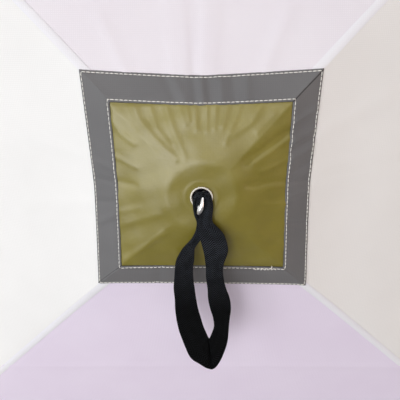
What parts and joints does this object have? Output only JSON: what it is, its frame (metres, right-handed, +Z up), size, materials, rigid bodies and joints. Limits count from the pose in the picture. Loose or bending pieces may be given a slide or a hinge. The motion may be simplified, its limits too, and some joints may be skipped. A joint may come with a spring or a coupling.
{
  "type": "winter cube tent",
  "caption": "Cube-shaped winter tent whose walls and roof are tensioned by folding hub-and-pole frames, with pull straps, a zipped door, windows and a snow skirt.",
  "frame": {"origin": "on the ground, at the middle of the box round the tent", "axes": "+Z up; -Y is the wall in the picture; +X is the wall with the door, on the right of that wall seen from outside"},
  "size_m": [2.3036, 2.3036, 2.0518],
  "materials": {
    "white_fabric": "matte",
    "grey_fabric": "matte",
    "skirt_fabric": "matte",
    "olive_fabric": "matte",
    "clear_film": "gloss",
    "black_webbing": "matte",
    "glass_fibre": "satin",
    "black_nylon": "satin",
    "cream_enamel": "satin",
    "bright_steel": "polished"
  },
  "bodies": {
    "shell": {"snow_skirt": "skirt_fabric", "skin_front": "white_fabric", "skin_right": "white_fabric", "skin_back": "white_fabric", "skin_left": "white_fabric", "skin_roof": "white_fabric", "window_left": "clear_film", "window_right": "clear_film", "corner_cap_front_left": "grey_fabric", "corner_cap_front_right": "grey_fabric", "corner_cap_back_left": "grey_fabric", "corner_cap_back_right": "grey_fabric"},
    "hub_front": {"hub_front": "black_nylon", "eyelet_front": "cream_enamel", "strap_ring_front": "bright_steel", "hub_patch_front": "olive_fabric"},
    "pole_front_lower_left": {"pole_front_lower_left": "glass_fibre"},
    "pole_front_lower_right": {"pole_front_lower_right": "glass_fibre"},
    "pole_front_upper_right": {"pole_front_upper_right": "glass_fibre"},
    "pole_front_upper_left": {"pole_front_upper_left": "glass_fibre"},
    "pull_strap_front": {"pull_strap_front": "black_webbing"},
    "hub_right": {"hub_right": "black_nylon", "eyelet_right": "cream_enamel", "strap_ring_right": "bright_steel", "hub_patch_right": "olive_fabric"},
    "pole_right_lower_left": {"pole_right_lower_left": "glass_fibre"},
    "pole_right_lower_right": {"pole_right_lower_right": "glass_fibre"},
    "pole_right_upper_right": {"pole_right_upper_right": "glass_fibre"},
    "pole_right_upper_left": {"pole_right_upper_left": "glass_fibre"},
    "pull_strap_right": {"pull_strap_right": "black_webbing"},
    "hub_back": {"hub_back": "black_nylon", "eyelet_back": "cream_enamel", "strap_ring_back": "bright_steel", "hub_patch_back": "olive_fabric"},
    "pole_back_lower_left": {"pole_back_lower_left": "glass_fibre"},
    "pole_back_lower_right": {"pole_back_lower_right": "glass_fibre"},
    "pole_back_upper_right": {"pole_back_upper_right": "glass_fibre"},
    "pole_back_upper_left": {"pole_back_upper_left": "glass_fibre"},
    "pull_strap_back": {"pull_strap_back": "black_webbing"},
    "hub_left": {"hub_left": "black_nylon", "eyelet_left": "cream_enamel", "strap_ring_left": "bright_steel", "hub_patch_left": "olive_fabric"},
    "pole_left_lower_left": {"pole_left_lower_left": "glass_fibre"},
    "pole_left_lower_right": {"pole_left_lower_right": "glass_fibre"},
    "pole_left_upper_right": {"pole_left_upper_right": "glass_fibre"},
    "pole_left_upper_left": {"pole_left_upper_left": "glass_fibre"},
    "pull_strap_left": {"pull_strap_left": "black_webbing"},
    "hub_roof": {"hub_roof": "black_nylon", "eyelet_roof": "cream_enamel", "strap_ring_roof": "bright_steel", "hub_patch_roof": "olive_fabric"},
    "pole_roof_front_left": {"pole_roof_front_left": "glass_fibre"},
    "pole_roof_front_right": {"pole_roof_front_right": "glass_fibre"},
    "pole_roof_back_right": {"pole_roof_back_right": "glass_fibre"},
    "pole_roof_back_left": {"pole_roof_back_left": "glass_fibre"},
    "pull_strap_roof": {"pull_strap_roof": "black_webbing"},
    "door_panel": {"door_zip_tape": "grey_fabric"},
    "door_leaf": {"door_leaf": "white_fabric"},
    "zip_slider": {"zip_slider": "bright_steel"}
  },
  "joints": [
    {"name": "hub_push_front", "type": "slide", "parent": "shell", "child": "hub_front", "axis": [0, 1, 0], "range_m": [0, 0.4324], "deforming": ["skin_front", "hub_patch_front"]},
    {"name": "pole_fold_front_lower_left", "type": "hinge", "parent": "hub_front", "child": "pole_front_lower_left", "pos_m": [-0.01909, -1.11712, 0.88091], "axis": [-0.7071, 0, 0.7071], "range_deg": [0, 20.69]},
    {"name": "pole_fold_front_lower_right", "type": "hinge", "parent": "hub_front", "child": "pole_front_lower_right", "pos_m": [0.01909, -1.11712, 0.88091], "axis": [-0.7071, 0, -0.7071], "range_deg": [0, 20.69]},
    {"name": "pole_fold_front_upper_right", "type": "hinge", "parent": "hub_front", "child": "pole_front_upper_right", "pos_m": [0.01909, -1.11712, 0.91909], "axis": [0.7071, 0, -0.7071], "range_deg": [0, 20.69]},
    {"name": "pole_fold_front_upper_left", "type": "hinge", "parent": "hub_front", "child": "pole_front_upper_left", "pos_m": [-0.01909, -1.11712, 0.91909], "axis": [0.7071, 0, 0.7071], "range_deg": [0, 20.69]},
    {"name": "strap_swing_front", "type": "hinge", "parent": "hub_front", "child": "pull_strap_front", "pos_m": [0, -1.1435, 0.9], "axis": [-1, 0, 0], "range_deg": [0, 85]},
    {"name": "hub_push_right", "type": "slide", "parent": "shell", "child": "hub_right", "axis": [-1, 0, 0], "range_m": [0, 0.4324], "deforming": ["skin_right", "hub_patch_right", "window_right"]},
    {"name": "pole_fold_right_lower_left", "type": "hinge", "parent": "hub_right", "child": "pole_right_lower_left", "pos_m": [1.11712, -0.01909, 0.88091], "axis": [0, -0.7071, 0.7071], "range_deg": [0, 20.69]},
    {"name": "pole_fold_right_lower_right", "type": "hinge", "parent": "hub_right", "child": "pole_right_lower_right", "pos_m": [1.11712, 0.01909, 0.88091], "axis": [0, -0.7071, -0.7071], "range_deg": [0, 20.69]},
    {"name": "pole_fold_right_upper_right", "type": "hinge", "parent": "hub_right", "child": "pole_right_upper_right", "pos_m": [1.11712, 0.01909, 0.91909], "axis": [0, 0.7071, -0.7071], "range_deg": [0, 20.69]},
    {"name": "pole_fold_right_upper_left", "type": "hinge", "parent": "hub_right", "child": "pole_right_upper_left", "pos_m": [1.11712, -0.01909, 0.91909], "axis": [0, 0.7071, 0.7071], "range_deg": [0, 20.69]},
    {"name": "strap_swing_right", "type": "hinge", "parent": "hub_right", "child": "pull_strap_right", "pos_m": [1.1435, 0, 0.9], "axis": [0, -1, 0], "range_deg": [0, 85]},
    {"name": "hub_push_back", "type": "slide", "parent": "shell", "child": "hub_back", "axis": [0, -1, 0], "range_m": [0, 0.4324], "deforming": ["skin_back", "hub_patch_back"]},
    {"name": "pole_fold_back_lower_left", "type": "hinge", "parent": "hub_back", "child": "pole_back_lower_left", "pos_m": [0.01909, 1.11712, 0.88091], "axis": [0.7071, 0, 0.7071], "range_deg": [0, 20.69]},
    {"name": "pole_fold_back_lower_right", "type": "hinge", "parent": "hub_back", "child": "pole_back_lower_right", "pos_m": [-0.01909, 1.11712, 0.88091], "axis": [0.7071, 0, -0.7071], "range_deg": [0, 20.69]},
    {"name": "pole_fold_back_upper_right", "type": "hinge", "parent": "hub_back", "child": "pole_back_upper_right", "pos_m": [-0.01909, 1.11712, 0.91909], "axis": [-0.7071, 0, -0.7071], "range_deg": [0, 20.69]},
    {"name": "pole_fold_back_upper_left", "type": "hinge", "parent": "hub_back", "child": "pole_back_upper_left", "pos_m": [0.01909, 1.11712, 0.91909], "axis": [-0.7071, 0, 0.7071], "range_deg": [0, 20.69]},
    {"name": "strap_swing_back", "type": "hinge", "parent": "hub_back", "child": "pull_strap_back", "pos_m": [0, 1.1435, 0.9], "axis": [1, 0, 0], "range_deg": [0, 85]},
    {"name": "hub_push_left", "type": "slide", "parent": "shell", "child": "hub_left", "axis": [1, 0, 0], "range_m": [0, 0.4324], "deforming": ["skin_left", "hub_patch_left", "window_left"]},
    {"name": "pole_fold_left_lower_left", "type": "hinge", "parent": "hub_left", "child": "pole_left_lower_left", "pos_m": [-1.11712, 0.01909, 0.88091], "axis": [0, 0.7071, 0.7071], "range_deg": [0, 20.69]},
    {"name": "pole_fold_left_lower_right", "type": "hinge", "parent": "hub_left", "child": "pole_left_lower_right", "pos_m": [-1.11712, -0.01909, 0.88091], "axis": [0, 0.7071, -0.7071], "range_deg": [0, 20.69]},
    {"name": "pole_fold_left_upper_right", "type": "hinge", "parent": "hub_left", "child": "pole_left_upper_right", "pos_m": [-1.11712, -0.01909, 0.91909], "axis": [0, -0.7071, -0.7071], "range_deg": [0, 20.69]},
    {"name": "pole_fold_left_upper_left", "type": "hinge", "parent": "hub_left", "child": "pole_left_upper_left", "pos_m": [-1.11712, 0.01909, 0.91909], "axis": [0, -0.7071, 0.7071], "range_deg": [0, 20.69]},
    {"name": "strap_swing_left", "type": "hinge", "parent": "hub_left", "child": "pull_strap_left", "pos_m": [-1.1435, 0, 0.9], "axis": [0, 1, 0], "range_deg": [0, 85]},
    {"name": "hub_push_roof", "type": "slide", "parent": "shell", "child": "hub_roof", "axis": [0, 0, -1], "range_m": [0, 0.4324], "deforming": ["skin_roof", "hub_patch_roof"]},
    {"name": "pole_fold_roof_front_left", "type": "hinge", "parent": "hub_roof", "child": "pole_roof_front_left", "pos_m": [-0.01909, -0.01909, 2.01712], "axis": [-0.7071, 0.7071, 0], "range_deg": [0, 20.69]},
    {"name": "pole_fold_roof_front_right", "type": "hinge", "parent": "hub_roof", "child": "pole_roof_front_right", "pos_m": [0.01909, -0.01909, 2.01712], "axis": [-0.7071, -0.7071, 0], "range_deg": [0, 20.69]},
    {"name": "pole_fold_roof_back_right", "type": "hinge", "parent": "hub_roof", "child": "pole_roof_back_right", "pos_m": [0.01909, 0.01909, 2.01712], "axis": [0.7071, -0.7071, 0], "range_deg": [0, 20.69]},
    {"name": "pole_fold_roof_back_left", "type": "hinge", "parent": "hub_roof", "child": "pole_roof_back_left", "pos_m": [-0.01909, 0.01909, 2.01712], "axis": [0.7071, 0.7071, 0], "range_deg": [0, 20.69]},
    {"name": "strap_swing_roof", "type": "hinge", "parent": "hub_roof", "child": "pull_strap_roof", "pos_m": [0, 0, 2.0435], "axis": [-1, 0, 0], "range_deg": [0, 90]},
    {"name": "door_panel_tilt", "type": "hinge", "parent": "shell", "child": "door_panel", "pos_m": [0.9, 0, 0], "axis": [0, -1, 0], "range_deg": [0, 27.21]},
    {"name": "door_open", "type": "hinge", "parent": "door_panel", "child": "door_leaf", "pos_m": [0.92241, -0.66985, 0.08768], "axis": [-0.1778, -0.6958, -0.6958], "range_deg": [0, 110]},
    {"name": "zip_run", "type": "slide", "parent": "door_panel", "child": "zip_slider", "axis": [0.1778, -0.6958, 0.6958], "range_m": [0, 0.734]}
  ],
  "couplings": [
    {"joint": "pole_fold_front_lower_left", "follows": "hub_push_front", "rad_per_m": 0.8269},
    {"joint": "pole_fold_front_lower_right", "follows": "hub_push_front", "rad_per_m": 0.8269},
    {"joint": "pole_fold_front_upper_right", "follows": "hub_push_front", "rad_per_m": 0.8269},
    {"joint": "pole_fold_front_upper_left", "follows": "hub_push_front", "rad_per_m": 0.8269},
    {"joint": "pole_fold_right_lower_left", "follows": "hub_push_right", "rad_per_m": 0.8269},
    {"joint": "pole_fold_right_lower_right", "follows": "hub_push_right", "rad_per_m": 0.8269},
    {"joint": "pole_fold_right_upper_right", "follows": "hub_push_right", "rad_per_m": 0.8269},
    {"joint": "pole_fold_right_upper_left", "follows": "hub_push_right", "rad_per_m": 0.8269},
    {"joint": "pole_fold_back_lower_left", "follows": "hub_push_back", "rad_per_m": 0.8269},
    {"joint": "pole_fold_back_lower_right", "follows": "hub_push_back", "rad_per_m": 0.8269},
    {"joint": "pole_fold_back_upper_right", "follows": "hub_push_back", "rad_per_m": 0.8269},
    {"joint": "pole_fold_back_upper_left", "follows": "hub_push_back", "rad_per_m": 0.8269},
    {"joint": "pole_fold_left_lower_left", "follows": "hub_push_left", "rad_per_m": 0.8269},
    {"joint": "pole_fold_left_lower_right", "follows": "hub_push_left", "rad_per_m": 0.8269},
    {"joint": "pole_fold_left_upper_right", "follows": "hub_push_left", "rad_per_m": 0.8269},
    {"joint": "pole_fold_left_upper_left", "follows": "hub_push_left", "rad_per_m": 0.8269},
    {"joint": "pole_fold_roof_front_left", "follows": "hub_push_roof", "rad_per_m": 0.8269},
    {"joint": "pole_fold_roof_front_right", "follows": "hub_push_roof", "rad_per_m": 0.8269},
    {"joint": "pole_fold_roof_back_right", "follows": "hub_push_roof", "rad_per_m": 0.8269},
    {"joint": "pole_fold_roof_back_left", "follows": "hub_push_roof", "rad_per_m": 0.8269},
    {"joint": "door_panel_tilt", "follows": "hub_push_right", "rad_per_m": 1.0902}
  ]
}
